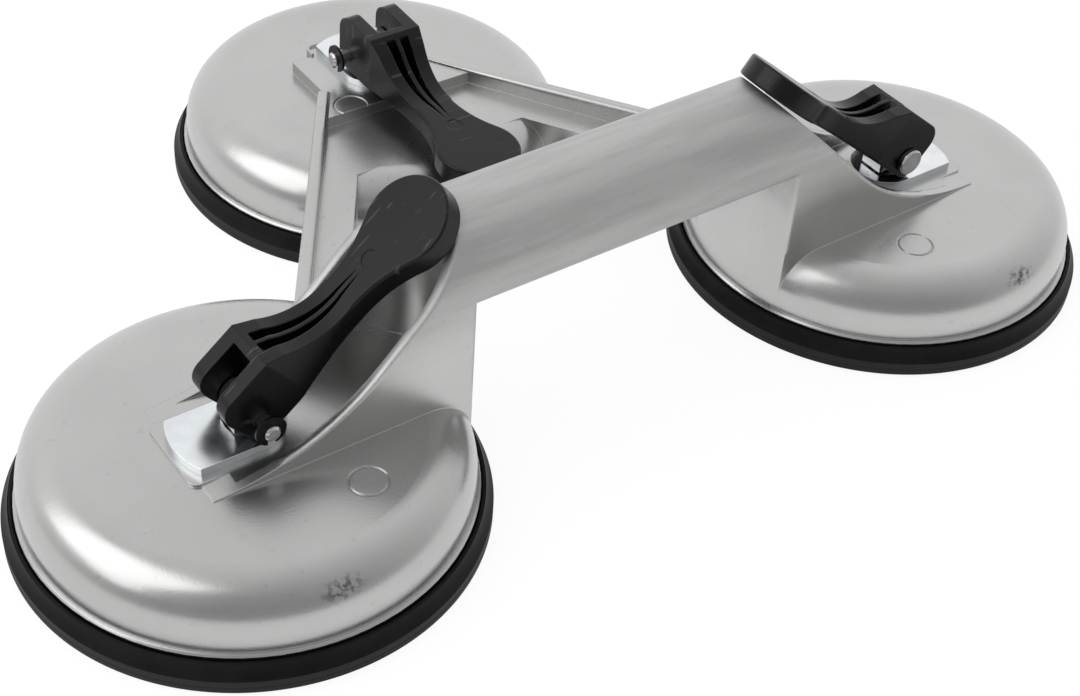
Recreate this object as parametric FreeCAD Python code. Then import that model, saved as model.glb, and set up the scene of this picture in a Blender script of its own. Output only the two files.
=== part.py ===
import FreeCAD, Part
import math
import os

# Three-cup suction lifter, millimetres, +Z up, standing on its rubber pads.
# The grip runs along X over the two front cups; the third cup stands behind them.
os.makedirs("parts", exist_ok=True)

Vec = FreeCAD.Vector
AXIS_X = Vec(1, 0, 0)
AXIS_Y = Vec(0, 1, 0)
AXIS_Z = Vec(0, 0, 1)

# Layout of the three cups
CUP_SPACING = 206.0
CUP_DEPTH = 113.0
SHIFT_Y = -CUP_DEPTH / 2

# Rubber pad
PAD_RADIUS = 60.0
PAD_EDGE_ROUND = 0.8
PAD_SIDE_TOP = 4.2
PAD_LIP_TOP = 8.2
PAD_LIP_WIDTH = 1.0
PAD_LIP_GAP = 0.3
SEAT_Z = 5.0

# Dome of the casting
RIM_RADIUS = 56.7
RIM_TOP = 9.3
RIM_STEP = 0.5
DOME_RADIUS = 55.7
DOME_TOP = 25.5
SHOULDER = 12.0
WALL = 3.0
BOSS_RADIUS = 9.0
BOSS_DROP = 6.0

# Backing disc and lift stem
DISC_RADIUS = 38.0
DISC_THICK = 2.4
DISC_GAP = 0.2
STEM_RADIUS = 4.0
STEM_RUN = 0.08
STEM_COLLAR_RADIUS = 7.0
STEM_COLLAR = 2.5
SPIGOT_RADIUS = 3.0
SPIGOT_RUN = 0.05
EYE_RADIUS = 5.2
EYE_WIDTH = 7.2
EYE_FOOT_GAP = 0.5

# Bracket seat and pressure plate
SEAT_RISE = 0.7
REAR_SEAT_HALF = 18.5
REAR_SEAT_FRONT = 15.0
REAR_SEAT_BACK = 15.5
REAR_SEAT_RISE = 3.5
PLATE_THICK = 2.2
PLATE_HALF = 9.6
PLATE_END = 19.5
PLATE_HOLE = 5.6
CURB_GAP = 0.3
CURB_WIDTH = 0.8
CURB_RISE = 0.7
CURB_HALF = 11.9
CURB_ROUND = 2.5
CURB_START = 15.6

# Grip and its funnel-shaped ends
GRIP_RADIUS = 18.0
GRIP_AXIS_Z = 54.0
GRIP_WALL = 2.8
GRIP_EDGE_ROUND = 1.2
FUNNEL_WALL = 2.5
FUNNEL_X = 66.0
SCOOP_TIP_X = 121.3
SCOOP_TIP_Z = 25.8
SCOOP_RADIUS = 64.5
SCOOP_ANGLE = 45.0

# Arms to the rear cup
ARM_BASE_Z = 9.0
ARM_OUT_REAR = (20.0, 111.0)
ARM_OUT_FRONT = (81.0, 18.0)
ARM_IN_REAR = (28.0, 74.5)
ARM_IN_FRONT = (65.3, 18.0)
ARM_WALL = 2.6
RIB_WIDTH = 3.8
RIB_TOP_REAR = 29.6
RIB_TOP_FRONT = 32.4
RIB_ROUND = 1.0

# Ejector marks left on the domes: offset from the cup's centre
MARK_RADIUS = 5.0
MARK_DEPTH = 0.25
MARK_LINE = 0.5
FRONT_MARK = (15.5, 30.5)
REAR_MARK = (15.0, 12.5)

# Cam lever, drawn with its pin at the origin, u along the arm and v square to it
HEEL = 5.2
SOLE = 5.3
SOLE_ROUND = 3.5
BLOCK_TOP = 11.8
BLOCK_ROUND = 5.0
BLOCK_END = 11.8
BLOCK_HALF = 8.25
EAR_GAP_HALF = 4.0
EAR_GAP_DEPTH = 9.5
ARM_ROOT = (16.0, 8.4)
NECK = (34.0, 0.9)
NECK_HALF = 6.0
PADDLE_TOP = 0.9
ARM_SAG = (0.62, 0.26)
NECK_BOW = (0.45, 0.28)
PADDLE_TIP = 68.8
PADDLE_RADIUS = 12.0
PADDLE_ROUND = 0.7
GROOVE_LEAD = 1.2
GROOVE_END = 42.0
GROOVE_HALF = 3.7
GROOVE_FLOOR = -1.6
GROOVE_RIB_HALF = 0.6
PADDLE_MARK_RADIUS = 2.3
PADDLE_MARK_DEPTH = 0.2
PADDLE_MARK_GAP = 0.3

# Pivot pin and retaining clip
PIN_RADIUS = 2.1
PIN_RUN = 0.06
HEAD_RADIUS = 3.9
HEAD_THICK = 1.6
HEAD_GAP = 0.3
PIN_TAIL = 5.8
CLIP_OFFSET = 3.6
CLIP_THICK = 0.8
CLIP_RADIUS = 4.0
CLIP_MOUTH = 2.2
NECKING = 0.5
CLIP_RUN = 0.05

# Height of the pin above the pressure plate with the lever as it rests
FRONT_PIN_HEIGHT = 6.2
REAR_PIN_HEIGHT = 5.9
FRONT_LEAN = 39.3
REAR_LEAN = -2.0

# How far a cutting body runs past the face it opens, and how close two levels count as one
OVERCUT = 1.0
LEVEL = 0.01

FRONT_SEAT_Z = DOME_TOP + SEAT_RISE
REAR_SEAT_Z = DOME_TOP + REAR_SEAT_RISE
CURB_END = PLATE_END + CURB_GAP + CURB_WIDTH
GROOVE_START = BLOCK_END + GROOVE_LEAD
PADDLE_CENTRE = PADDLE_TIP - PADDLE_RADIUS


def polygon(points):
    # Closed flat face through 3-D points.
    wire = Part.makePolygon([Vec(*p) for p in points] + [Vec(*points[0])])
    return Part.Face(wire)


def plan_prism(points, z_low, z_high):
    # Upright prism over a plan outline.
    face = polygon([(x, y, z_low) for x, y in points])
    return face.extrude(Vec(0, 0, z_high - z_low))


def cylinder_z(x, y, radius, z_low, z_high):
    return Part.makeCylinder(radius, z_high - z_low, Vec(x, y, z_low), AXIS_Z)


def turned(edges):
    # Solid of revolution about Z from edges drawn in the XZ plane.
    wire = Part.Wire(Part.__sortEdges__(edges))
    return Part.Face(wire).revolve(Vec(0, 0, 0), AXIS_Z, 360)


def chain(points):
    # Straight edges through (r, z) points.
    ends = [Vec(r, 0, z) for r, z in points]
    return [Part.LineSegment(a, b).toShape() for a, b in zip(ends, ends[1:])]


def quarter(centre_r, centre_z, radius, start, end):
    # Arc in the XZ plane by its centre and two angles in degrees.
    spots = []
    for degrees in (start, (start + end) / 2, end):
        angle = math.radians(degrees)
        spots.append(Vec(centre_r + radius * math.cos(angle), 0, centre_z + radius * math.sin(angle)))
    return Part.Arc(*spots).toShape()


def dome_outside():
    # Outer skin of a cup: rim, upright wall and rounded shoulder.
    flat = DOME_RADIUS - SHOULDER
    step = (RIM_RADIUS - RIM_STEP, RIM_TOP)
    edges = chain([(0, SEAT_Z), (RIM_RADIUS, SEAT_Z), (RIM_RADIUS, RIM_TOP - RIM_STEP), step])
    edges += chain([step, (DOME_RADIUS, RIM_TOP), (DOME_RADIUS, DOME_TOP - SHOULDER)])
    edges.append(quarter(flat, DOME_TOP - SHOULDER, SHOULDER, 0, 90))
    edges += chain([(flat, DOME_TOP), (0, DOME_TOP), (0, SEAT_Z)])
    return turned(edges)


def dome_inside():
    # Hollow of a cup, one wall thickness inside the skin.
    radius = DOME_RADIUS - WALL
    inner_round = SHOULDER - WALL
    flat = radius - inner_round
    top = DOME_TOP - WALL
    floor = SEAT_Z - OVERCUT
    edges = chain([(0, floor), (radius, floor), (radius, top - inner_round)])
    edges.append(quarter(flat, top - inner_round, inner_round, 0, 90))
    edges += chain([(flat, top), (0, top), (0, floor)])
    return turned(edges)


def funnel_side(sign):
    # One end of the grip: wings, back wall and seat, before hollowing.
    x = sign * CUP_SPACING / 2
    low = DOME_TOP - SHOULDER
    reach = SCOOP_TIP_X
    start = min(0, sign * reach)
    box = Part.makeBox(reach, 2 * GRIP_RADIUS, GRIP_AXIS_Z - low, Vec(start, -GRIP_RADIUS, low))
    tube = Part.makeCylinder(GRIP_RADIUS, reach, Vec(start, 0, GRIP_AXIS_Z), AXIS_X)
    high = GRIP_AXIS_Z + GRIP_RADIUS + OVERCUT
    return box.fuse(tube).common(cylinder_z(x, 0, DOME_RADIUS, low, high))


def scoop(sign):
    # Space over the swept edge of the wings: an arc from the tip, then a straight slant.
    slant = math.radians(SCOOP_ANGLE)
    high = GRIP_AXIS_Z + 2 * GRIP_RADIUS

    def on_arc(angle):
        x = SCOOP_TIP_X - SCOOP_RADIUS * math.sin(angle)
        return Vec(sign * x, 0, SCOOP_TIP_Z + SCOOP_RADIUS * (1 - math.cos(angle)))

    tip = on_arc(0)
    foot = on_arc(slant)
    head = Vec(foot.x - sign * (high - foot.z) / math.tan(slant), 0, high)
    far = Vec(sign * (SCOOP_TIP_X + GRIP_RADIUS), 0, SCOOP_TIP_Z)
    edges = [Part.Arc(tip, on_arc(slant / 2), foot).toShape()]
    corners = [foot, head, Vec(far.x, 0, high), far, tip]
    edges += [Part.LineSegment(a, b).toShape() for a, b in zip(corners, corners[1:])]
    face = Part.Face(Part.Wire(Part.__sortEdges__(edges)))
    face.translate(Vec(0, -2 * GRIP_RADIUS, 0))
    return face.extrude(Vec(0, 4 * GRIP_RADIUS, 0))


def funnel_hollow(sign):
    # Space inside the wings: round at the back, open towards the cup's rim.
    inner = GRIP_RADIUS - FUNNEL_WALL
    top = GRIP_AXIS_Z + GRIP_RADIUS
    back = cylinder_z(sign * FUNNEL_X, 0, inner, FRONT_SEAT_Z, top)
    far = sign * (SCOOP_TIP_X + GRIP_RADIUS)
    span = sorted((sign * FUNNEL_X, far))
    run = Part.makeBox(span[1] - span[0], 2 * inner, top - FRONT_SEAT_Z, Vec(span[0], -inner, FRONT_SEAT_Z))
    length = abs(far)
    ceiling = Part.makeCylinder(inner, length, Vec(min(0, far), 0, GRIP_AXIS_Z), AXIS_X)
    room = Part.makeBox(length, 2 * inner, GRIP_AXIS_Z - FRONT_SEAT_Z, Vec(min(0, far), -inner, FRONT_SEAT_Z))
    return back.fuse(run).common(ceiling.fuse(room))


def grip_tube():
    # Half-tube held in the hand, open below, with rounded lower edges.
    half = FUNNEL_X - GRIP_RADIUS / 2
    start = Vec(-half, 0, GRIP_AXIS_Z)
    outer = Part.makeCylinder(GRIP_RADIUS, 2 * half, start, AXIS_X)
    inner = Part.makeCylinder(GRIP_RADIUS - GRIP_WALL, 2 * half, start, AXIS_X)
    upper = Part.makeBox(2 * half, 2 * GRIP_RADIUS, GRIP_RADIUS, Vec(-half, -GRIP_RADIUS, GRIP_AXIS_Z))
    tube = outer.cut(inner).common(upper)
    edges = []
    for edge in tube.Edges:
        box = edge.BoundBox
        if box.XLength > half and box.ZMax < GRIP_AXIS_Z + LEVEL:
            edges.append(edge)
    return tube.makeFillet(GRIP_EDGE_ROUND, edges)


def mirrored(points):
    # Outline through points and their mirror images across the YZ plane.
    return list(points) + [(-x, y) for x, y in reversed(points)]


def web():
    # Two hollow arms and the plate that joins them in front of the rear cup.
    outline = mirrored([ARM_IN_REAR, ARM_IN_FRONT, ARM_OUT_FRONT, ARM_OUT_REAR])
    solid = plan_prism(outline, ARM_BASE_Z, DOME_TOP)
    slope = math.atan2(ARM_OUT_FRONT[0] - ARM_OUT_REAR[0], ARM_OUT_REAR[1] - ARM_OUT_FRONT[1])
    side = ARM_WALL / math.cos(slope)
    low_in = (ARM_IN_FRONT[0] + side, ARM_IN_FRONT[1])
    high_in = (ARM_IN_REAR[0] + side * 0.5, ARM_IN_REAR[1] + ARM_WALL)
    low_out = (ARM_OUT_FRONT[0] - side, ARM_OUT_FRONT[1])
    high_out = (ARM_OUT_REAR[0] - side, ARM_OUT_REAR[1])
    hollow = plan_prism(mirrored([high_in, low_in, low_out, high_out]), ARM_BASE_Z - 1, DOME_TOP - WALL)
    return solid.cut(hollow)


def rib(sign):
    # Upright rib on the outer edge of an arm; its top rises towards the grip.
    rear = Vec(sign * ARM_OUT_REAR[0], ARM_OUT_REAR[1], 0)
    front = Vec(sign * ARM_OUT_FRONT[0], ARM_OUT_FRONT[1], 0)
    along = front.sub(rear).normalize()
    inward = Vec(-sign * abs(along.y), -abs(along.x), 0)
    base = ARM_BASE_Z
    low = [rear + Vec(0, 0, base), front + Vec(0, 0, base)]
    high = [front + Vec(0, 0, RIB_TOP_FRONT), rear + Vec(0, 0, RIB_TOP_REAR)]
    face = Part.Face(Part.makePolygon(low + high + [low[0]]))
    solid = face.extrude(inward * RIB_WIDTH)
    edges = []
    for edge in solid.Edges:
        box = edge.BoundBox
        if box.ZMin > DOME_TOP and box.DiagonalLength > 4 * RIB_WIDTH:
            edges.append(edge)
    return solid.makeFillet(RIB_ROUND, edges)


def rear_seat():
    # Raised seat of the rear bracket, as wide as the ribs at its front.
    slope = (ARM_OUT_FRONT[0] - ARM_OUT_REAR[0]) / (ARM_OUT_REAR[1] - ARM_OUT_FRONT[1])
    front = CUP_DEPTH - REAR_SEAT_FRONT
    wide = ARM_OUT_REAR[0] + (ARM_OUT_REAR[1] - front) * slope - RIB_WIDTH
    back = CUP_DEPTH + REAR_SEAT_BACK
    bend = front + (wide - REAR_SEAT_HALF) / slope
    outline = mirrored([(wide, front), (REAR_SEAT_HALF, bend), (REAR_SEAT_HALF, back)])
    return plan_prism(outline, DOME_TOP - WALL / 2, REAR_SEAT_Z)


def rounded_end(reach, half, corner, z_low, z_high):
    # Upright block from the stem's axis out to a straight end with two rounded corners.
    block = Part.makeBox(reach, 2 * half, z_high - z_low, Vec(0, -half, z_low))
    edges = []
    for edge in block.Edges:
        box = edge.BoundBox
        if box.ZLength > LEVEL and box.XMin > reach - LEVEL:
            edges.append(edge)
    return block.makeFillet(corner, edges)


def seat_tongue(seat_z):
    # Outer end of a seat under the plate, with the low curb round the plate's end.
    low = DOME_TOP - WALL / 2
    high = seat_z + CURB_RISE
    block = rounded_end(CURB_END, CURB_HALF, CURB_ROUND, low, high)
    inside = (CURB_END - CURB_WIDTH, CURB_HALF - CURB_WIDTH, CURB_ROUND - CURB_WIDTH)
    pocket = rounded_end(*inside, seat_z, high + OVERCUT)
    corner = Vec(-OVERCUT, -CURB_HALF - OVERCUT, seat_z)
    room = Part.makeBox(CURB_START + OVERCUT, 2 * CURB_HALF + 2 * OVERCUT, CURB_RISE + OVERCUT, corner)
    return block.cut([pocket, room])


def pressure_plate():
    # Zinc-plated plate that the cam bears on, with a round inner end, a bowed outer end
    # and a hole for the stem.
    corner = math.sqrt(PLATE_END * PLATE_END - PLATE_HALF * PLATE_HALF)
    a = Vec(0, PLATE_HALF, 0)
    b = Vec(corner, PLATE_HALF, 0)
    c = Vec(corner, -PLATE_HALF, 0)
    d = Vec(0, -PLATE_HALF, 0)
    edges = [Part.LineSegment(a, b).toShape()]
    edges.append(Part.Arc(b, Vec(PLATE_END, 0, 0), c).toShape())
    edges.append(Part.LineSegment(c, d).toShape())
    edges.append(Part.Arc(d, Vec(-PLATE_HALF, 0, 0), a).toShape())
    plate = Part.Face(Part.Wire(Part.__sortEdges__(edges))).extrude(Vec(0, 0, PLATE_THICK))
    return plate.cut(cylinder_z(0, 0, PLATE_HOLE, -OVERCUT, PLATE_THICK + OVERCUT))


def ejector_mark():
    # Thin ring pressed into the dome by the mould's ejector pin.
    outer = cylinder_z(0, 0, MARK_RADIUS, -MARK_DEPTH, OVERCUT)
    return outer.cut(cylinder_z(0, 0, MARK_RADIUS - MARK_LINE, -MARK_DEPTH - OVERCUT, 2 * OVERCUT))


def rubber_pad():
    # Flat pad with an upstanding lip round the rim of the casting.
    lip_in = RIM_RADIUS + PAD_LIP_GAP
    lip_out = lip_in + PAD_LIP_WIDTH
    pocket = DISC_RADIUS + DISC_GAP
    pocket_z = SEAT_Z - DISC_THICK
    side = PAD_RADIUS - PAD_EDGE_ROUND
    edges = chain([(0, 0), (side, 0)])
    edges.append(quarter(side, PAD_EDGE_ROUND, PAD_EDGE_ROUND, -90, 0))
    edges += chain([(PAD_RADIUS, PAD_EDGE_ROUND), (PAD_RADIUS, PAD_SIDE_TOP), (lip_out, PAD_LIP_TOP)])
    edges += chain([(lip_out, PAD_LIP_TOP), (lip_in, PAD_LIP_TOP), (lip_in, SEAT_Z)])
    edges += chain([(lip_in, SEAT_Z), (pocket, SEAT_Z), (pocket, pocket_z), (0, pocket_z), (0, 0)])
    return turned(edges)


def backing_disc():
    # Steel disc bonded into the pad; the stem's spigot is riveted in its middle.
    low = SEAT_Z - DISC_THICK
    disc = cylinder_z(0, 0, DISC_RADIUS, low, SEAT_Z)
    return disc.cut(cylinder_z(0, 0, SPIGOT_RADIUS + SPIGOT_RUN, low - OVERCUT, SEAT_Z + OVERCUT))


def lift_stem(plate_top, pin_z):
    # Round stem with a flat eye at the top for the pivot pin along Y.
    spigot = cylinder_z(0, 0, SPIGOT_RADIUS, SEAT_Z - DISC_THICK, SEAT_Z)
    collar = cylinder_z(0, 0, STEM_COLLAR_RADIUS, SEAT_Z, SEAT_Z + STEM_COLLAR)
    foot = plate_top + EYE_FOOT_GAP
    rod = cylinder_z(0, 0, STEM_RADIUS, SEAT_Z, pin_z)
    tongue = Part.makeBox(2 * EYE_RADIUS, EYE_WIDTH, pin_z - foot, Vec(-EYE_RADIUS, -EYE_WIDTH / 2, foot))
    eye = Part.makeCylinder(EYE_RADIUS, EYE_WIDTH, Vec(0, -EYE_WIDTH / 2, pin_z), AXIS_Y)
    flats = Part.makeBox(4 * EYE_RADIUS, EYE_WIDTH, 2 * pin_z, Vec(-2 * EYE_RADIUS, -EYE_WIDTH / 2, foot))
    rod_top = rod.common(flats)
    rod_low = cylinder_z(0, 0, STEM_RADIUS, SEAT_Z, foot)
    stem = rod_low.fuse([rod_top, spigot, collar, tongue, eye])
    bore = Part.makeCylinder(PIN_RADIUS + PIN_RUN, 4 * EYE_WIDTH, Vec(0, -2 * EYE_WIDTH, pin_z), AXIS_Y)
    return stem.cut(bore).removeSplitter()


def pivot_pin(pin_z):
    # Headed pin along Y: head on -Y, grooved tail on +Y.
    face = BLOCK_HALF + HEAD_GAP
    tail = BLOCK_HALF + PIN_TAIL
    shaft = Part.makeCylinder(PIN_RADIUS, face + tail, Vec(0, -face, pin_z), AXIS_Y)
    head = Part.makeCylinder(HEAD_RADIUS, HEAD_THICK, Vec(0, -face - HEAD_THICK, pin_z), AXIS_Y)
    outer_edges = [e for e in head.Edges if e.BoundBox.YMax < -face - HEAD_THICK / 2]
    head = head.makeFillet(HEAD_THICK / 3, outer_edges)
    groove = Vec(0, BLOCK_HALF + CLIP_OFFSET - CLIP_RUN, pin_z)
    width = CLIP_THICK + 2 * CLIP_RUN
    ring = Part.makeCylinder(2 * PIN_RADIUS, width, groove, AXIS_Y)
    core = Part.makeCylinder(PIN_RADIUS - NECKING, width, groove, AXIS_Y)
    pin = shaft.fuse(head).removeSplitter()
    tip = [e for e in pin.Edges if e.BoundBox.YMin > tail - CLIP_RUN]
    return pin.makeChamfer(NECKING, tip).cut(ring.cut(core))


def retaining_clip(pin_z):
    # Spring clip in the groove of the pin, open on one side.
    base = Vec(0, BLOCK_HALF + CLIP_OFFSET, pin_z)
    disc = Part.makeCylinder(CLIP_RADIUS, CLIP_THICK, base, AXIS_Y)
    neck = PIN_RADIUS - NECKING + CLIP_RUN
    hole = Part.makeCylinder(neck, 3 * CLIP_THICK, base - AXIS_Y * CLIP_THICK, AXIS_Y)
    slot_base = base + Vec(-CLIP_MOUTH / 2, -CLIP_THICK, -2 * CLIP_RADIUS)
    slot = Part.makeBox(CLIP_MOUTH, 3 * CLIP_THICK, 2 * CLIP_RADIUS, slot_base)
    return disc.cut(hole.fuse(slot))


def lever_side():
    # Side view of the lever in the XZ plane, swept across its full width.
    half = PADDLE_RADIUS + OVERCUT
    tip = PADDLE_TIP + OVERCUT
    heel_round = Vec(-HEEL + SOLE_ROUND, 0, -SOLE + SOLE_ROUND)
    edges = chain([(-HEEL + SOLE_ROUND, -SOLE), (tip, -SOLE), (tip, PADDLE_TOP), NECK])
    neck = Vec(NECK[0], 0, NECK[1])
    root = Vec(ARM_ROOT[0], 0, ARM_ROOT[1])
    sag = Vec(neck.x - (neck.x - root.x) * ARM_SAG[0], 0, neck.z + (root.z - neck.z) * ARM_SAG[1])
    edges.append(Part.Arc(neck, sag, root).toShape())
    edges += chain([ARM_ROOT, (BLOCK_END, BLOCK_TOP), (-HEEL + BLOCK_ROUND, BLOCK_TOP)])
    edges.append(quarter(-HEEL + BLOCK_ROUND, BLOCK_TOP - BLOCK_ROUND, BLOCK_ROUND, 90, 180))
    edges += chain([(-HEEL, BLOCK_TOP - BLOCK_ROUND), (-HEEL, -SOLE + SOLE_ROUND)])
    edges.append(quarter(heel_round.x, heel_round.z, SOLE_ROUND, 180, 270))
    face = Part.Face(Part.Wire(Part.__sortEdges__(edges)))
    face.translate(Vec(0, -half, 0))
    return face.extrude(Vec(0, 2 * half, 0))


def lever_plan():
    # Plan view: block, waisted neck and round paddle, joined by tangent arcs.
    gap = PADDLE_CENTRE - NECK[0]
    widening = PADDLE_RADIUS - NECK_HALF
    flare = (gap * gap - widening * (PADDLE_RADIUS + NECK_HALF)) / (2 * widening)
    centre = Vec(NECK[0], NECK_HALF + flare, 0)
    paddle = Vec(PADDLE_CENTRE, 0, 0)
    toward = centre.sub(paddle).normalize()
    touch = paddle + toward * PADDLE_RADIUS
    halfway = centre.sub((toward + Vec(0, 1, 0)).normalize() * flare)
    tip = Vec(PADDLE_TIP, 0, 0)
    corner = Vec(BLOCK_END, BLOCK_HALF, 0)
    neck = Vec(NECK[0], NECK_HALF, 0)
    bow = Vec(corner.x + (neck.x - corner.x) * NECK_BOW[0], neck.y + (corner.y - neck.y) * NECK_BOW[1], 0)
    heel = Vec(-HEEL - OVERCUT, BLOCK_HALF, 0)

    def flip(p):
        return Vec(p.x, -p.y, 0)

    edges = [Part.LineSegment(heel, corner).toShape(), Part.LineSegment(flip(heel), flip(corner)).toShape()]
    edges += [Part.Arc(corner, bow, neck).toShape(), Part.Arc(flip(corner), flip(bow), flip(neck)).toShape()]
    edges.append(Part.Arc(neck, halfway, touch).toShape())
    edges.append(Part.Arc(flip(neck), flip(halfway), flip(touch)).toShape())
    edges += [Part.Arc(touch, tip, flip(touch)).toShape(), Part.LineSegment(heel, flip(heel)).toShape()]
    face = Part.Face(Part.Wire(Part.__sortEdges__(edges)))
    face.translate(Vec(0, 0, -2 * SOLE))
    return face.extrude(Vec(0, 0, 2 * SOLE + 2 * BLOCK_TOP))


def lever_grooves():
    # Two long pockets in the top of the arm, split by a thin middle rib.
    high = BLOCK_TOP + OVERCUT
    pockets = []
    for sign in (1, -1):
        outline = [(GROOVE_START, sign * GROOVE_RIB_HALF), (GROOVE_START, sign * GROOVE_HALF)]
        outline.append((GROOVE_END, sign * GROOVE_RIB_HALF))
        pockets.append(plan_prism(outline, GROOVE_FLOOR, high))
    return pockets


def cam_lever():
    # Lever with its pin at the origin and the arm along +X.
    body = lever_side().common(lever_plan())
    corner = Vec(-2 * HEEL, -EAR_GAP_HALF, -2 * BLOCK_TOP)
    gap = Part.makeBox(2 * HEEL + EAR_GAP_DEPTH, 2 * EAR_GAP_HALF, 4 * BLOCK_TOP, corner)
    bore = Part.makeCylinder(PIN_RADIUS + PIN_RUN, 4 * BLOCK_HALF, Vec(0, -2 * BLOCK_HALF, 0), AXIS_Y)
    body = body.cut([gap, bore] + lever_grooves()).removeSplitter()
    rims = []
    for edge in body.Edges:
        box = edge.BoundBox
        flat = box.ZLength < LEVEL and box.XMax > PADDLE_CENTRE
        on_rim = min(abs(box.ZMin + SOLE), abs(box.ZMin - PADDLE_TOP)) < LEVEL
        if flat and on_rim:
            rims.append(edge)
    body = body.makeFillet(PADDLE_ROUND, rims)
    mark_u = GROOVE_END + PADDLE_MARK_GAP + PADDLE_MARK_RADIUS
    mark_v = PADDLE_TOP - PADDLE_MARK_DEPTH
    return body.cut(cylinder_z(mark_u, 0, PADDLE_MARK_RADIUS, mark_v, PADDLE_TOP + OVERCUT))


def casting(marks):
    # The one aluminium casting: three domes, grip, wings, arms and seats.
    half = CUP_SPACING / 2
    centres = [(-half, 0), (half, 0), (0, CUP_DEPTH)]
    solid = grip_tube()
    solid = solid.fuse([funnel_side(1), funnel_side(-1)]).removeSplitter()
    solid = solid.cut([scoop(1), scoop(-1)])
    seats = []
    hollows = []
    for x, y in centres:
        skin = dome_outside()
        skin.translate(Vec(x, y, 0))
        seats.append(skin)
        room = dome_inside()
        room.translate(Vec(x, y, 0))
        boss = cylinder_z(x, y, BOSS_RADIUS, DOME_TOP - WALL - BOSS_DROP, DOME_TOP)
        hollows.append(room.cut(boss))
        hollows.append(cylinder_z(x, y, STEM_RADIUS + STEM_RUN, 0, REAR_SEAT_Z + OVERCUT))
    for (x, y), angle, z in zip(centres, (180, 0, 90), (FRONT_SEAT_Z, FRONT_SEAT_Z, REAR_SEAT_Z)):
        seats.append(place(seat_tongue(z), x, y, angle))
    hollows += [funnel_hollow(sign) for sign in (-1, 1)]
    solid = solid.fuse(seats + [web(), rib(1), rib(-1), rear_seat()])
    solid = solid.cut(hollows)
    cuts = []
    for x, y, z in marks:
        mark = ejector_mark()
        mark.translate(Vec(x, y, z))
        cuts.append(mark)
    return solid.cut(cuts)


def place(shape, x, y, turn):
    # Turn a bracket piece about its stem, then move it to its cup.
    moved = shape.copy()
    moved.rotate(Vec(0, 0, 0), AXIS_Z, turn)
    moved.translate(Vec(x, y, 0))
    return moved


def export(shape, name):
    moved = shape.copy()
    moved.translate(Vec(0, SHIFT_Y, 0))
    moved.exportStep("parts/" + name + ".step")


def cup_set(side, x, y, turn, seat_z, pin_height, lean):
    # Pieces of one cup. turn is the heading of the bracket's outer end.
    plate_top = seat_z + PLATE_THICK
    pin_z = plate_top + pin_height
    plate = pressure_plate()
    plate.translate(Vec(0, 0, seat_z))
    lever = cam_lever()
    lever.rotate(Vec(0, 0, 0), AXIS_Z, 180)
    lever.rotate(Vec(0, 0, 0), AXIS_Y, lean)
    lever.translate(Vec(0, 0, pin_z))
    export(place(rubber_pad(), x, y, turn), "rubber_pad_" + side)
    export(place(backing_disc(), x, y, turn), "backing_disc_" + side)
    export(place(lift_stem(plate_top, pin_z), x, y, turn), "lift_stem_" + side)
    export(place(plate, x, y, turn), "pressure_plate_" + side)
    export(place(pivot_pin(pin_z), x, y, turn), "pivot_pin_" + side)
    export(place(retaining_clip(pin_z), x, y, turn), "retaining_clip_" + side)
    export(place(lever, x, y, turn), "cam_lever_" + side)


def ejector_spots():
    # One mark on each cup, beside its bracket.
    inset = CUP_SPACING / 2 - FRONT_MARK[0]
    front = [(sign * inset, -FRONT_MARK[1], DOME_TOP) for sign in (-1, 1)]
    return front + [(-REAR_MARK[0], CUP_DEPTH - REAR_MARK[1], REAR_SEAT_Z)]


export(casting(ejector_spots()), "frame_casting")
cup_set("left", -CUP_SPACING / 2, 0, 180, FRONT_SEAT_Z, FRONT_PIN_HEIGHT, FRONT_LEAN)
cup_set("right", CUP_SPACING / 2, 0, 0, FRONT_SEAT_Z, FRONT_PIN_HEIGHT, FRONT_LEAN)
cup_set("rear", 0, CUP_DEPTH, 90, REAR_SEAT_Z, REAR_PIN_HEIGHT, REAR_LEAN)
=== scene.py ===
import math
import bmesh
import bpy
import numpy as np
from mathutils import Matrix


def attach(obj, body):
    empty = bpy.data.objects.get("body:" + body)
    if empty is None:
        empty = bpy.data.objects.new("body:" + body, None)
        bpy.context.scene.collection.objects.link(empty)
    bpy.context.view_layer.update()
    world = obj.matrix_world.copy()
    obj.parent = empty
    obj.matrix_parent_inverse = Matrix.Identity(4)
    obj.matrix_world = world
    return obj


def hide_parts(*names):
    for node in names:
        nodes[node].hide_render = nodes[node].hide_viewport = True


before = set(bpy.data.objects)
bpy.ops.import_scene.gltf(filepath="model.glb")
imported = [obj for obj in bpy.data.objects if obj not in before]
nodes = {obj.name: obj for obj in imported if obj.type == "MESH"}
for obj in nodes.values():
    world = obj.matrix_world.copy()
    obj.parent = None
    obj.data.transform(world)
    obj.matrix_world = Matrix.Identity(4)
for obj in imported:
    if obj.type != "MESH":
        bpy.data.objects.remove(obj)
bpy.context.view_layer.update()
print("frame loaded:", len(nodes), "nodes")

mm = 0.001
# Middle of each cup in X and Y, in metres.
sides = {"left": (-0.103, -0.0565), "right": (0.103, -0.0565), "rear": (0.0, 0.0565)}


# Heading, dip and roll in radians, as fitted to the photograph.
view = {"place": (-0.2489, -0.3565, 0.3446), "yaw": 0.656, "pitch": 0.723, "roll": 0.076,
        "lens": 63.5, "sensor": 36.0, "shift": (0.0046, 0.0046), "nearest": 0.01, "farthest": 50.0}


def turnTo(across, up, back, place):
    # Matrix of an object that looks along -back, with its own X along across.
    turn = np.identity(4)
    for column, direction in enumerate((across, up, back, place)):
        turn[:3, column] = direction
    return Matrix(turn.tolist())


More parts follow.
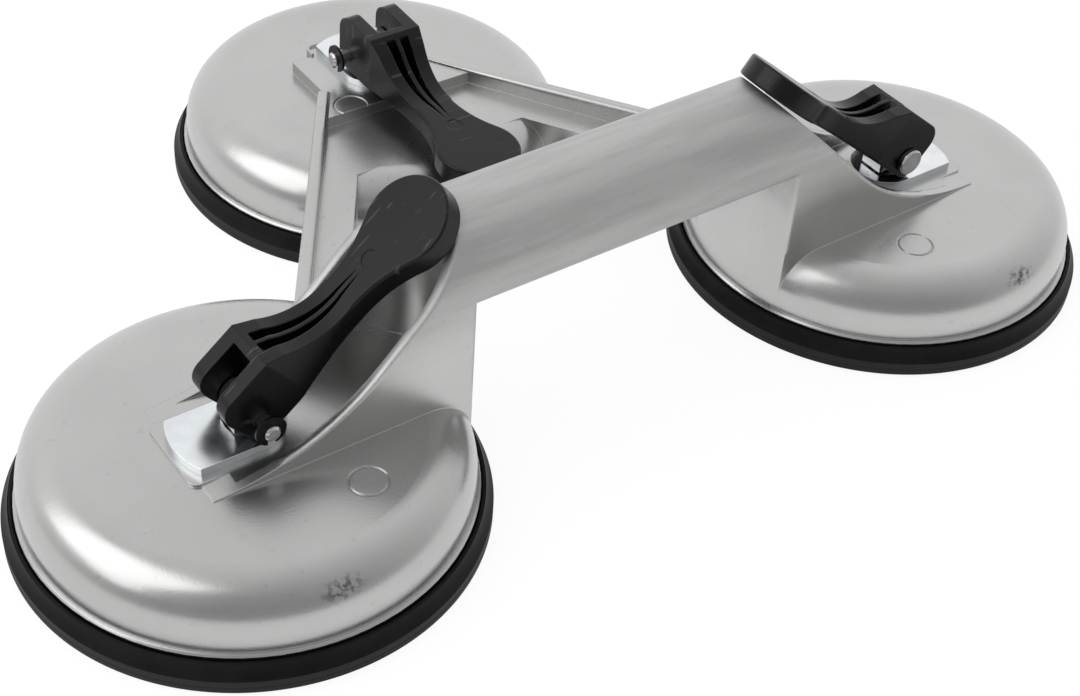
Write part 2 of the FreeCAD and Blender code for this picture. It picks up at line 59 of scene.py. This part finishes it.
def makeCamera():
    yaw, pitch, roll = view["yaw"], view["pitch"], view["roll"]
    ahead = np.array([math.sin(yaw) * math.cos(pitch), math.cos(yaw) * math.cos(pitch), -math.sin(pitch)])
    level = np.array([math.cos(yaw), -math.sin(yaw), 0.0])
    upright = np.cross(level, ahead)
    right = level * math.cos(roll) + upright * math.sin(roll)
    up = upright * math.cos(roll) - level * math.sin(roll)
    data = bpy.data.cameras.new("camera")
    data.lens = view["lens"]
    data.sensor_width = view["sensor"]
    data.shift_x, data.shift_y = view["shift"]
    data.clip_start, data.clip_end = view["nearest"], view["farthest"]
    camera = bpy.data.objects.new("camera", data)
    bpy.context.scene.collection.objects.link(camera)
    camera.matrix_world = turnTo(right, up, -ahead, view["place"])
    bpy.context.scene.camera = camera


makeCamera()
print("camera set")


class Nodes:
    # Short way to write a material or a world: add a node, set its inputs, join it to others.
    # Each method returns an output socket, but for add, which returns the node.
    def __init__(self, owner, output="ShaderNodeOutputMaterial"):
        owner.use_nodes = True
        self.owner = owner
        self.tree = owner.node_tree
        self.tree.nodes.clear()
        self.output = self.add(output)

    def add(self, kind, settings=None, **inputs):
        # An input's name is written with _ in place of each space.
        node = self.tree.nodes.new(kind)
        for key, value in (settings or {}).items():
            setattr(node, key, value)
        for key, value in inputs.items():
            self.put(node.inputs[key.replace("_", " ")], value)
        return node

    def put(self, socket, value):
        if isinstance(value, bpy.types.NodeSocket):
            self.tree.links.new(value, socket)
        else:
            socket.default_value = value

    def where(self):
        return self.add("ShaderNodeTexCoord").outputs["Object"]

    def axes(self):
        # X, Y and Z of the place on the object.
        return self.add("ShaderNodeSeparateXYZ", Vector=self.where()).outputs

    def noise(self, scale, detail, rough, vector=None):
        node = self.add("ShaderNodeTexNoise", Scale=scale, Detail=detail, Roughness=rough,
                        Vector=vector or self.where())
        return node.outputs["Fac"]

    def stretch(self, scale, turn=(0.0, 0.0, 0.0)):
        node = self.add("ShaderNodeMapping", Vector=self.where(), Scale=scale, Rotation=turn)
        return node.outputs["Vector"]

    def span(self, value, low, high, start=0.0, end=1.0):
        # Goes evenly from start, at or below low, to end, at or above high.
        node = self.add("ShaderNodeMapRange", Value=value, From_Min=low, From_Max=high,
                        To_Min=start, To_Max=end)
        return node.outputs["Result"]

    def blend(self, factor, first, second):
        node = self.add("ShaderNodeMix", {"data_type": "RGBA"}, Factor=factor)
        self.put(node.inputs[6], first)   # 6 and 7 are the colour inputs
        self.put(node.inputs[7], second)
        return node.outputs[2]

    def calc(self, action, first, second=0.0):
        node = self.add("ShaderNodeMath", {"operation": action})
        self.put(node.inputs[0], first)
        self.put(node.inputs[1], second)
        return node.outputs[0]

    def measure(self, action, first, second):
        # A number from two vectors, such as their distance.
        node = self.add("ShaderNodeVectorMath", {"operation": action})
        self.put(node.inputs[0], first)
        self.put(node.inputs[1], second)
        return node.outputs["Value"]

    def edge(self, radius):
        # Shades edges as if they were rounded by this radius.
        return self.add("ShaderNodeBevel", {"samples": 6}, Radius=radius).outputs["Normal"]

    def bump(self, height, strength, distance, normal=None):
        node = self.add("ShaderNodeBump", Strength=strength, Distance=distance, Height=height)
        if normal is not None:
            self.put(node.inputs["Normal"], normal)
        return node.outputs["Normal"]

    def finish(self, shader):
        self.put(self.output.inputs["Surface"], shader.outputs[0])
        return self.owner


# In all the looks, a noise is its scale, detail and roughness, a span is the noise value at which
# a pattern starts and the one at which it is full, and lengths are in metres.
casting = {"dark": (0.47, 0.472, 0.466, 1.0), "light": (0.53, 0.532, 0.526, 1.0),
           "cloud": (22.0, 4.0, 0.6), "tintSpan": (0.3, 0.7), "roughSpan": (0.25, 0.75),
           "rough": (0.24, 0.31), "metal": 1.0,
           "grain": (1500.0, 2.0, 0.5), "grainStrength": 0.08, "grainDepth": 0.0002,
           "speckNoise": (420.0, 2.0, 0.5), "speckSpan": (0.68, 0.74), "speck": 0.12,
           "speckColour": (0.16, 0.16, 0.165, 1.0),
           # The handle starts and is full at these heights.
           "handleSpan": (0.040, 0.056), "handleRough": 0.30,
           "streakNoise": (240.0, 3.0, 0.6), "streakStretch": (0.12, 1.0, 1.0),
           "streakSpan": (0.3, 0.7), "streak": 0.9,
           # Middle of the shoulder's painted shade, its full and outer reach, and its own noise.
           "markAt": (0.1075, -0.1092, 0.0213), "markLength": 2.0, "markReach": (0.0008, 0.0034),
           "mark": 0.8, "markNoise": (700.0, 3.0, 0.6), "markSpan": (0.46, 0.58),
           "markColour": (0.05, 0.05, 0.052, 1.0),
           # Edges are sharper up to the cups' tops, which lie a little higher at the rear.
           "capTop": 0.0283, "capFade": 0.0005, "rearSpan": (0.02, 0.04), "rearRise": 0.0019,
           "markEdge": 0.0004, "rimEdge": 0.0018}


def castingPaintedShade(s, axes):
    # Painted shade: a rough dark band on the shoulder of both front cups. It fades with the distance
    # from its middle, more slowly along X, and is broken by noise. The size of X serves both cups.
    length = casting["markLength"]
    across = s.calc("MULTIPLY", s.calc("ABSOLUTE", axes["X"]), 1.0 / length)
    point = s.add("ShaderNodeCombineXYZ", X=across, Y=axes["Y"], Z=axes["Z"]).outputs[0]
    markX, markY, markZ = casting["markAt"]
    away = s.measure("DISTANCE", point, (markX / length, markY, markZ))
    near = s.span(away, *casting["markReach"], casting["mark"], 0.0)
    broken = s.span(s.noise(*casting["markNoise"]), *casting["markSpan"])
    return s.calc("MULTIPLY", near, broken)


def castingMaterial():
    # Satin cast aluminium: cloudy patches, fine grain and a few darker specks. The handle is duller
    # than the cups and streaked along its length, and edges above the cups' tops are rounder than
    # the fine marks on them.
    s = Nodes(bpy.data.materials.new("castAluminium"))
    axes = s.axes()
    handle = s.span(axes["Z"], *casting["handleSpan"])
    cloud = s.noise(*casting["cloud"])
    lines = s.noise(*casting["streakNoise"], s.stretch(casting["streakStretch"]))
    streak = s.span(lines, *casting["streakSpan"], -casting["streak"], casting["streak"])
    patch = s.calc("ADD", s.span(cloud, *casting["tintSpan"]), s.calc("MULTIPLY", streak, handle))
    tint = s.blend(patch, casting["dark"], casting["light"])
    speck = s.span(s.noise(*casting["speckNoise"]), *casting["speckSpan"], 0.0, casting["speck"])
    tint = s.blend(speck, tint, casting["speckColour"])
    # Painted shade: a dark band on the front cups' shoulders, laid over the metal's colour.
    tint = s.blend(castingPaintedShade(s, axes), tint, casting["markColour"])
    rough = s.span(cloud, *casting["roughSpan"], *casting["rough"])
    rough = s.calc("ADD", rough, s.calc("MULTIPLY", handle, casting["handleRough"]))
    rise = s.span(axes["Y"], *casting["rearSpan"], 0.0, casting["rearRise"])
    level = s.calc("SUBTRACT", axes["Z"], rise)
    high = s.span(level, casting["capTop"], casting["capTop"] + casting["capFade"])
    rounding = s.edge(s.span(high, 0.0, 1.0, casting["markEdge"], casting["rimEdge"]))
    grain = s.noise(*casting["grain"])
    normal = s.bump(grain, casting["grainStrength"], casting["grainDepth"], rounding)
    return s.finish(s.add("ShaderNodeBsdfPrincipled", Metallic=casting["metal"], Base_Color=tint,
                          Roughness=rough, Normal=normal))


lever = {"colour": (0.004, 0.004, 0.0045, 1.0), "shine": 0.27, "edge": 0.0006,
         "cloud": (70.0, 3.0, 0.6), "roughSpan": (0.3, 0.7), "rough": (0.24, 0.34),
         "grain": (1900.0, 2.0, 0.5), "grainStrength": 0.12, "grainDepth": 0.0001,
         "scratchNoise": (60.0, 2.0, 0.4), "scratchStretch": (1.0, 14.0, 3.0),
         "scratchTurn": (0.3, 0.2, 0.9), "scratchSpan": (0.67, 0.71), "scratch": 0.5,
         "scratchColour": (0.09, 0.09, 0.095, 1.0)}


def plasticMaterial():
    # Black moulded plastic: soft sheen, a fine texture and long pale scratches.
    s = Nodes(bpy.data.materials.new("blackPlastic"))
    lines = s.noise(*lever["scratchNoise"], s.stretch(lever["scratchStretch"], lever["scratchTurn"]))
    scratch = s.span(lines, *lever["scratchSpan"], 0.0, lever["scratch"])
    rough = s.span(s.noise(*lever["cloud"]), *lever["roughSpan"], *lever["rough"])
    grain = s.noise(*lever["grain"])
    normal = s.bump(grain, lever["grainStrength"], lever["grainDepth"], s.edge(lever["edge"]))
    return s.finish(s.add("ShaderNodeBsdfPrincipled", Specular_IOR_Level=lever["shine"],
                          Base_Color=s.blend(scratch, lever["colour"], lever["scratchColour"]),
                          Roughness=rough, Normal=normal))


rubber = {"colour": (0.005, 0.005, 0.005, 1.0), "shine": 0.13,
          "dustNoise": (55.0, 4.0, 0.65), "dustSpan": (0.45, 0.8), "dustAndSheen": 0.08,
          "dustAndSheenColour": (0.11, 0.11, 0.11, 1.0), "roughSpan": (0.0, 0.5), "rough": (0.5, 0.65),
          # The side wall below wallTop is painted this much greyer, a painted sheen.
          "wallTop": 0.0041, "wallFade": 0.0002, "wallPaintedSheen": 0.18,
          "grain": (1400.0, 3.0, 0.6), "grainStrength": 0.25, "grainDepth": 0.0001}


def rubberMaterial():
    # Black rubber: matte, dusty in cloudy patches, with moulding grain. The side wall, below the
    # sloping ring, is painted greyer as a painted sheen.
    s = Nodes(bpy.data.materials.new("blackRubber"))
    wallEnd = rubber["wallTop"] + rubber["wallFade"]
    # Painted sheen: the side wall, below wallTop, is painted greyer.
    wall = s.span(s.axes()["Z"], rubber["wallTop"], wallEnd, rubber["wallPaintedSheen"], 0.0)
    dustAndSheen = s.span(s.noise(*rubber["dustNoise"]), *rubber["dustSpan"], 0.0, rubber["dustAndSheen"])
    # Real dust patches plus the side wall's painted sheen.
    dustAndSheen = s.calc("ADD", dustAndSheen, wall)
    normal = s.bump(s.noise(*rubber["grain"]), rubber["grainStrength"], rubber["grainDepth"])
    return s.finish(s.add("ShaderNodeBsdfPrincipled", Specular_IOR_Level=rubber["shine"],
                          Base_Color=s.blend(dustAndSheen, rubber["colour"], rubber["dustAndSheenColour"]),
                          Roughness=s.span(dustAndSheen, *rubber["roughSpan"], *rubber["rough"]), Normal=normal))


metal = {"span": (0.3, 0.7), "lineDepth": 0.00005}
plated = {"cloud": (120.0, 3.0, 0.55), "dark": (0.70, 0.73, 0.76, 1.0), "light": (0.84, 0.87, 0.89, 1.0),
          "rough": (0.19, 0.27), "lines": (260.0, 2.0, 0.5), "stretch": (1.0, 9.0, 1.0), "line": 0.06,
          "edge": 0.0003}
steel = {"cloud": (300.0, 3.0, 0.55), "dark": (0.50, 0.50, 0.51, 1.0), "light": (0.66, 0.66, 0.67, 1.0),
         "rough": (0.16, 0.26), "lines": (260.0, 2.0, 0.5), "stretch": (12.0, 1.0, 12.0), "line": 0.12,
         "edge": 0.0002}
clip = {"cloud": (400.0, 3.0, 0.55), "dark": (0.02, 0.02, 0.022, 1.0), "light": (0.04, 0.04, 0.042, 1.0),
        "rough": (0.3, 0.45), "lines": (260.0, 2.0, 0.5), "stretch": (1.0, 6.0, 1.0), "line": 0.1,
        "edge": 0.0001}


def metalMaterial(name, look):
    # Plated or turned steel: clear reflections broken by faint clouds and fine lines.
    s = Nodes(bpy.data.materials.new(name))
    cloud = s.noise(*look["cloud"])
    lines = s.noise(*look["lines"], s.stretch(look["stretch"]))
    tint = s.blend(s.span(cloud, *metal["span"]), look["dark"], look["light"])
    normal = s.bump(lines, look["line"], metal["lineDepth"], s.edge(look["edge"]))
    return s.finish(s.add("ShaderNodeBsdfPrincipled", Metallic=1.0, Base_Color=tint,
                          Roughness=s.span(cloud, *metal["span"], *look["rough"]), Normal=normal))


rubberLook = rubberMaterial()
steelLook = metalMaterial("turnedSteel", steel)
looks = {"frame_casting": castingMaterial(), "cam_lever": plasticMaterial(),
         "pressure_plate": metalMaterial("zincPlate", plated), "pivot_pin": steelLook,
         "lift_stem": steelLook, "backing_disc": steelLook,
         "retaining_clip": metalMaterial("blackSteel", clip), "rubber_pad": rubberLook}
for start, look in looks.items():
    # Every CAD node whose name starts so gets this material.
    for name, node in nodes.items():
        if name.startswith(start):
            node.data.materials.clear()
            node.data.materials.append(look)
print("materials made")


# Points closer than merge are made one, and edges turned more than sharp degrees stay sharp.
surface = {"merge": 1e-7, "sharp": 32}


def gridSurface(name, points, loopRows, look):
    # Quads join each point to the next along its row and column. Looped rows wrap round.
    rows, columns = points.shape[:2]
    row, column = np.meshgrid(np.arange(rows if loopRows else rows - 1), np.arange(columns - 1),
                              indexing="ij")
    nextRow, nextColumn = (row + 1) % rows, column + 1
    corners = [row * columns + column, nextRow * columns + column,
               nextRow * columns + nextColumn, row * columns + nextColumn]
    quads = np.stack(corners, -1).reshape(-1, 4)
    mesh = bpy.data.meshes.new(name)
    mesh.vertices.add(rows * columns)
    mesh.vertices.foreach_set("co", points.reshape(-1).astype(np.float32))
    mesh.loops.add(quads.size)
    mesh.loops.foreach_set("vertex_index", quads.reshape(-1).astype(np.int32))
    mesh.polygons.add(len(quads))
    mesh.polygons.foreach_set("loop_start", (np.arange(len(quads)) * 4).astype(np.int32))
    mesh.update(calc_edges=True)
    body = bmesh.new()
    body.from_mesh(mesh)
    bmesh.ops.remove_doubles(body, verts=body.verts, dist=surface["merge"])
    bmesh.ops.recalc_face_normals(body, faces=body.faces)
    body.to_mesh(mesh)
    body.free()
    mesh.polygons.foreach_set("use_smooth", np.ones(len(mesh.polygons), bool))
    mesh.set_sharp_from_angle(angle=math.radians(surface["sharp"]))
    mesh.materials.append(look)
    piece = bpy.data.objects.new(name, mesh)
    bpy.context.scene.collection.objects.link(piece)
    return piece


def turnedSurface(name, radius, height, centre, count, look):
    # Point at angle a: centre plus radius times (cos a, sin a), at its height.
    angle = np.linspace(0, 2 * math.pi, count, endpoint=False)[:, None]
    points = np.stack([centre[0] + radius * np.cos(angle), centre[1] + radius * np.sin(angle),
                       np.broadcast_to(height, (count, len(height)))], -1)
    return gridSurface(name, points, True, look)


# Sizes of a pad in millimetres, and how many points each stretch of its outline has.
pad = {"radius": 60.0, "edge": 0.8, "sideTop": 4.2, "lipTop": 8.2, "lipOut": 58.0, "lipIn": 57.0,
       "crown": 0.4, "sag": 0.25, "seat": 5.0, "pocket": 38.2, "pocketFloor": 2.6,
       "ribs": (46.0, 50.0, 54.0), "ribWidth": 1.1, "ribDepth": 0.45,
       "seam": 2.3, "seamDepth": 0.12, "seamWidth": 0.18,
       "underSteps": 260, "roundSteps": 9, "sideSteps": 20, "ringSteps": 12, "turns": 240}


def padProfile():
    # Underside from the middle out, rounded edge, side wall, sloping ring, lip, and the seat inside it.
    foot = pad["radius"] - pad["edge"]
    under = np.linspace(0, foot, pad["underSteps"])
    # Each groove is a bell curve about its own radius, summed over the grooves.
    gaps = (under - np.array(pad["ribs"])[:, None]) / (0.5 * pad["ribWidth"])
    dip = pad["ribDepth"] * np.exp(-gaps ** 2).sum(0)
    bend = np.linspace(-math.pi / 2, 0, pad["roundSteps"])[1:]
    side = np.linspace(pad["edge"], pad["sideTop"], pad["sideSteps"])[1:]
    # The mould seam is a thin dent round the side, also a bell curve of the height.
    dent = pad["seamDepth"] * np.exp(-((side - pad["seam"]) / pad["seamWidth"]) ** 2)
    ring = np.linspace(0, 1, pad["ringSteps"])[1:]
    # The sloping ring sags a little between wall and lip, as a sine of its length.
    sag = pad["sag"] * np.sin(math.pi * ring)
    # The lip's crown is half an ellipse.
    crown = np.linspace(0, math.pi, pad["roundSteps"])[1:]
    middle, half = (pad["lipOut"] + pad["lipIn"]) / 2, (pad["lipOut"] - pad["lipIn"]) / 2
    radius = [under, foot + pad["edge"] * np.cos(bend), pad["radius"] - dent,
              pad["radius"] + (pad["lipOut"] - pad["radius"]) * ring - sag,
              middle + half * np.cos(crown),
              np.array([pad["lipIn"], pad["pocket"], pad["pocket"], 0.0])]
    height = [dip, pad["edge"] + pad["edge"] * np.sin(bend), side,
              pad["sideTop"] + (pad["lipTop"] - pad["sideTop"]) * ring,
              pad["lipTop"] - pad["crown"] + pad["crown"] * np.sin(crown),
              np.array([pad["seat"], pad["seat"], pad["pocketFloor"], pad["pocketFloor"]])]
    return np.concatenate(radius) * mm, np.concatenate(height) * mm


padRadius, padHeight = padProfile()
for side, centre in sides.items():
    piece = turnedSurface("padRubber_" + side, padRadius, padHeight, centre, pad["turns"], rubberLook)
    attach(piece, "frame")
    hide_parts("rubber_pad_" + side)
print("pads made")


# The floor lies a hair below the pads, so that the two don't flicker.
ground = {"glow": 1.075, "matte": 0.15, "colour": (0.8, 0.8, 0.8, 1.0), "half": 20.0, "below": 0.0002}
white = (1.0, 1.0, 1.0, 1.0)


def makeFloor():
    # White to the eye and to reflections, so the ground joins the backdrop with no line. A share of
    # plain matte floor stays in the mix and carries the object's shadow.
    s = Nodes(bpy.data.materials.new("paleFloor"))
    path = s.add("ShaderNodeLightPath").outputs
    seen = s.calc("MAXIMUM", path["Is Camera Ray"], path["Is Glossy Ray"])
    seen = s.calc("MAXIMUM", seen, path["Is Transmission Ray"])
    matte = s.add("ShaderNodeBsdfDiffuse", Color=ground["colour"])
    glow = s.add("ShaderNodeEmission", Color=white, Strength=ground["glow"])
    both = s.add("ShaderNodeMixShader", Fac=s.calc("MULTIPLY", seen, 1.0 - ground["matte"]))
    s.put(both.inputs[1], matte.outputs[0])
    s.put(both.inputs[2], glow.outputs[0])
    half = ground["half"]
    corners = np.array([[[-half, -half, 0], [half, -half, 0]], [[-half, half, 0], [half, half, 0]]])
    floor = gridSurface("floor", corners, False, s.finish(both))
    floor.location.z = -ground["below"]


# Strength of the light from the camera's side and from behind the object.
studio = {"toward": (0.42, 0.91, 0.0), "fade": 0.8, "near": 0.41, "far": 1.04}


def makeWorld():
    # Lighter behind the object than on the camera's side. Camera and reflections see the same.
    world = bpy.data.worlds.new("studio")
    bpy.context.scene.world = world
    s = Nodes(world, "ShaderNodeOutputWorld")
    along = s.measure("DOT_PRODUCT", s.add("ShaderNodeTexCoord").outputs["Generated"], studio["toward"])
    strength = s.span(along, -studio["fade"], studio["fade"], studio["near"], studio["far"])
    s.finish(s.add("ShaderNodeBackground", Color=white, Strength=strength))


softbox = {"name": "overhead", "place": (-0.79, 0.22, 0.87), "target": (0, 0, 0), "size": (1.05, 1.0),
           "power": 5.0}


def areaLight(light):
    data = bpy.data.lights.new(light["name"], "AREA")
    data.shape = "RECTANGLE"
    data.size, data.size_y = light["size"]
    data.energy = light["power"]
    lamp = bpy.data.objects.new(light["name"], data)
    bpy.context.scene.collection.objects.link(lamp)
    back = np.array(light["place"]) - np.array(light["target"])
    back = back / np.linalg.norm(back)
    across = np.cross([0.0, 0.0, 1.0], back)
    across = across / np.linalg.norm(across)
    lamp.matrix_world = turnTo(across, np.cross(back, across), back, light["place"])


makeFloor()
makeWorld()
areaLight(softbox)
bpy.context.scene.view_settings.view_transform = "Standard"
print("stage lit")
